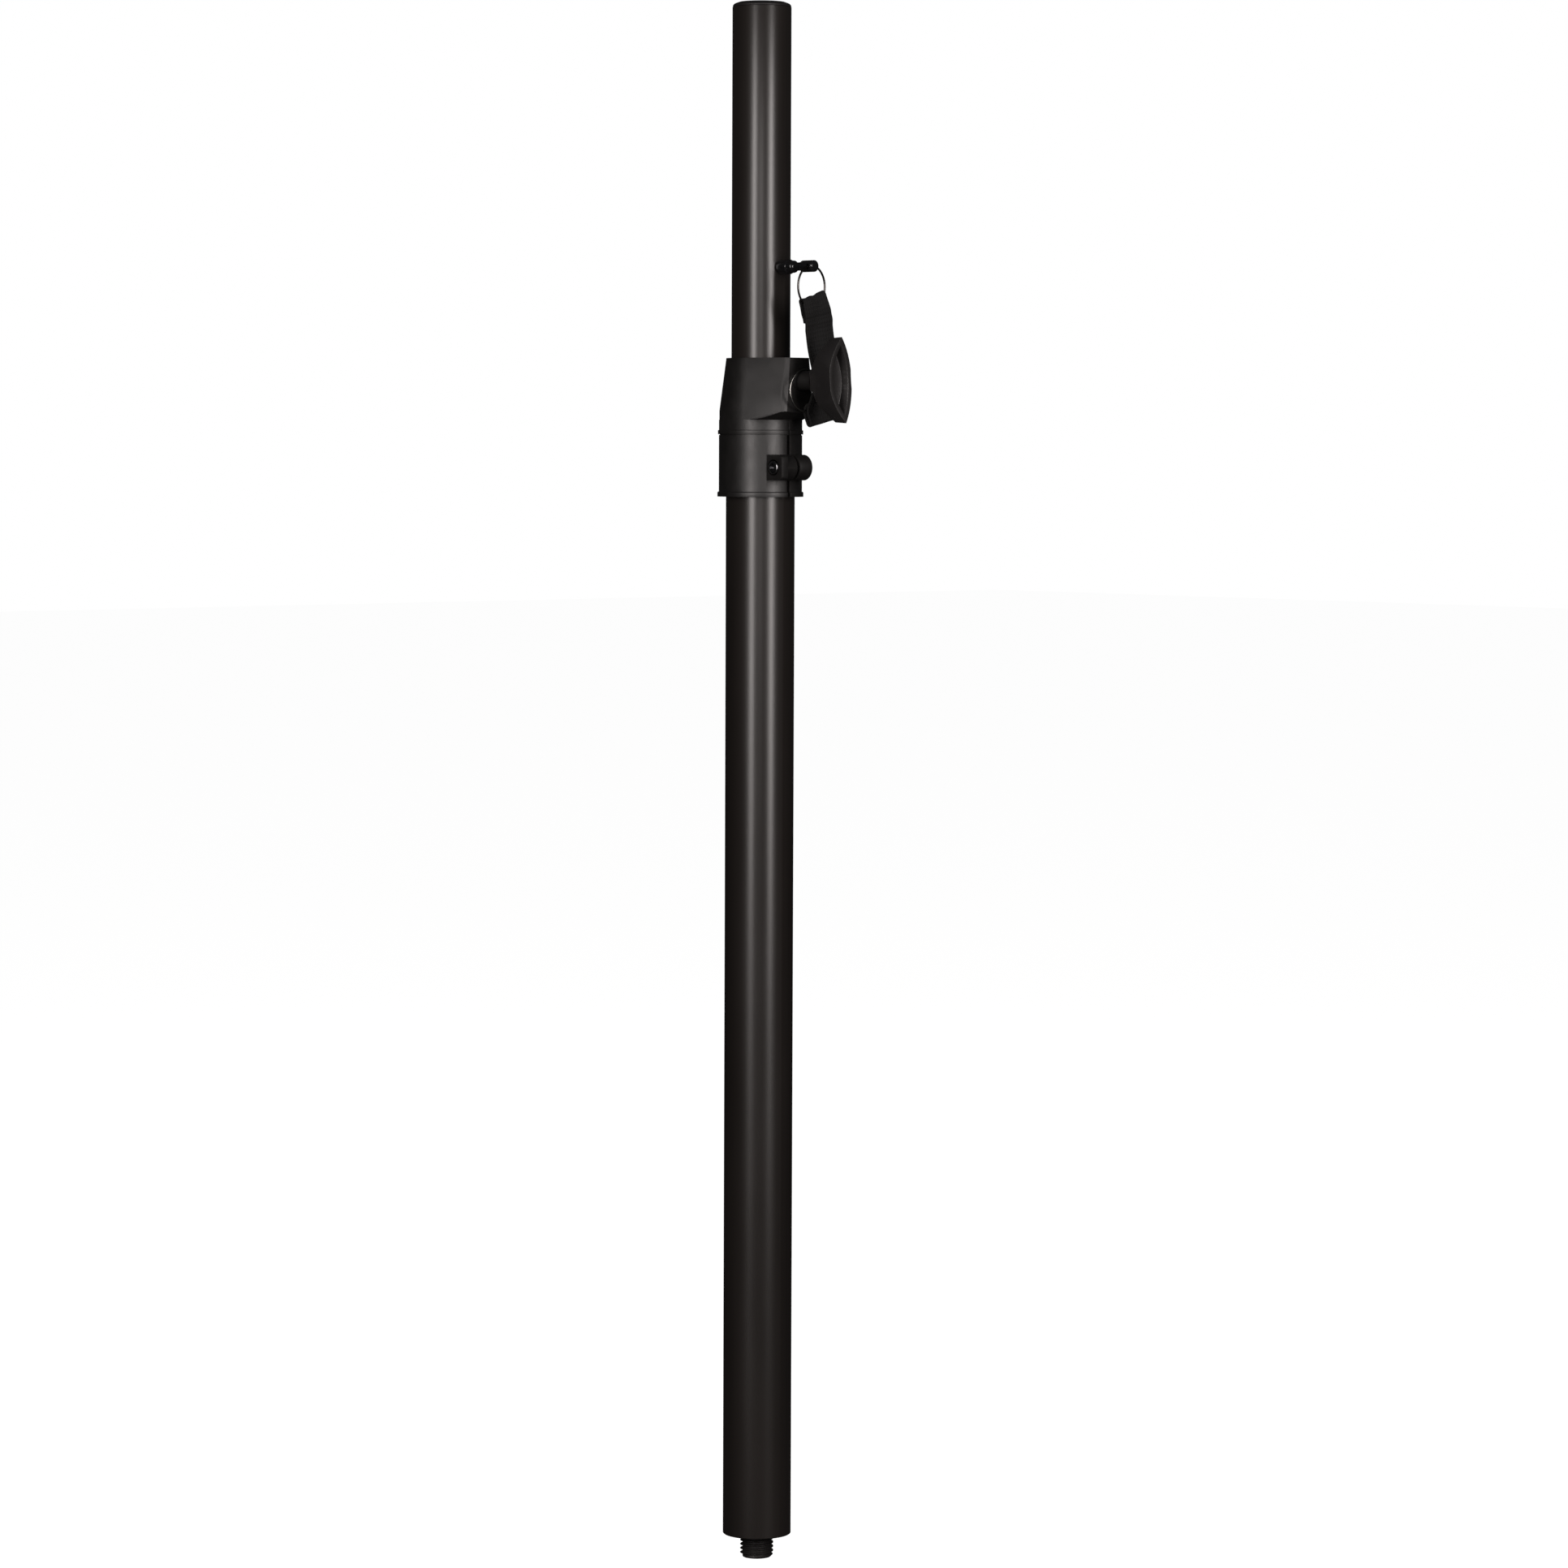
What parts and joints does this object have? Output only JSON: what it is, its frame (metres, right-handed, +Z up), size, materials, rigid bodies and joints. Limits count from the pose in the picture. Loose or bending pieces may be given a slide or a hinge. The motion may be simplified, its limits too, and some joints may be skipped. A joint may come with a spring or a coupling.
{
  "type": "telescoping speaker pole",
  "caption": "Black telescoping tube pole with a threaded foot stud, a clamp collar, a wing knob brake and a tethered locking pin through the inner tube.",
  "frame": {"origin": "centre of the foot thread's lower end, on the pole's axis", "axes": "+Z up along the pole; +X out of the wing knob, the locking pin and the slit of the lower clamp; +Y completes a right-handed frame"},
  "size_m": [0.0984, 0.0524, 0.93],
  "materials": {
    "tube_paint": "satin black powder coat",
    "stud_steel": "black oxide steel",
    "rubber": "soft black rubber",
    "collar_plastic": "fine grained black moulding",
    "nylon": "natural nylon",
    "brass": "turned brass",
    "bright_steel": "bright zinc plate",
    "ring_nickel": "nickel plated wire",
    "webbing": "black polyester webbing",
    "cap_plastic": "black moulding",
    "knob_plastic": "fine grained black moulding",
    "pin_black": "glossy black plating"
  },
  "bodies": {
    "pole": {"outer_tube": "tube_paint", "foot_plug": "tube_paint", "threaded_stud": "stud_steel", "bump_stop": "rubber", "collar_housing": "collar_plastic", "mouth_bush": "nylon", "boss_insert": "brass", "clamp_bolt": "bright_steel", "clamp_washer": "bright_steel", "clamp_nut": "bright_steel", "boss_ring": "ring_nickel", "strap": "webbing"},
    "mast": {"inner_tube": "tube_paint", "top_cap": "cap_plastic", "bottom_plug": "nylon", "lower_bush": "nylon", "bush_pips": "nylon"},
    "pad": {"brake_pad": "nylon"},
    "knob": {"knob_screw": "stud_steel", "knob_body": "knob_plastic"},
    "pin": {"locking_pin": "pin_black", "pin_ring": "ring_nickel"}
  },
  "joints": [
    {"name": "mast_slide", "type": "slide", "parent": "pole", "child": "mast", "axis": [0, 0, 1], "range_m": [0, 0.48]},
    {"name": "pad_slide", "type": "slide", "parent": "pole", "child": "pad", "axis": [1, 0, 0], "range_m": [0, 0.003]},
    {"name": "knob_turn", "type": "hinge", "parent": "pad", "child": "knob", "pos_m": [0.0492, 0, 0.7066], "axis": [1, 0, 0], "range_deg": [0, 1085]},
    {"name": "pin_pull", "type": "slide", "parent": "pole", "child": "pin", "axis": [1, 0, 0], "range_m": [0, 0.042], "deforming": ["strap"]}
  ],
  "couplings": [
    {"joint": "knob_turn", "follows": "pad_slide", "rad_per_m": 6283.2}
  ]
}
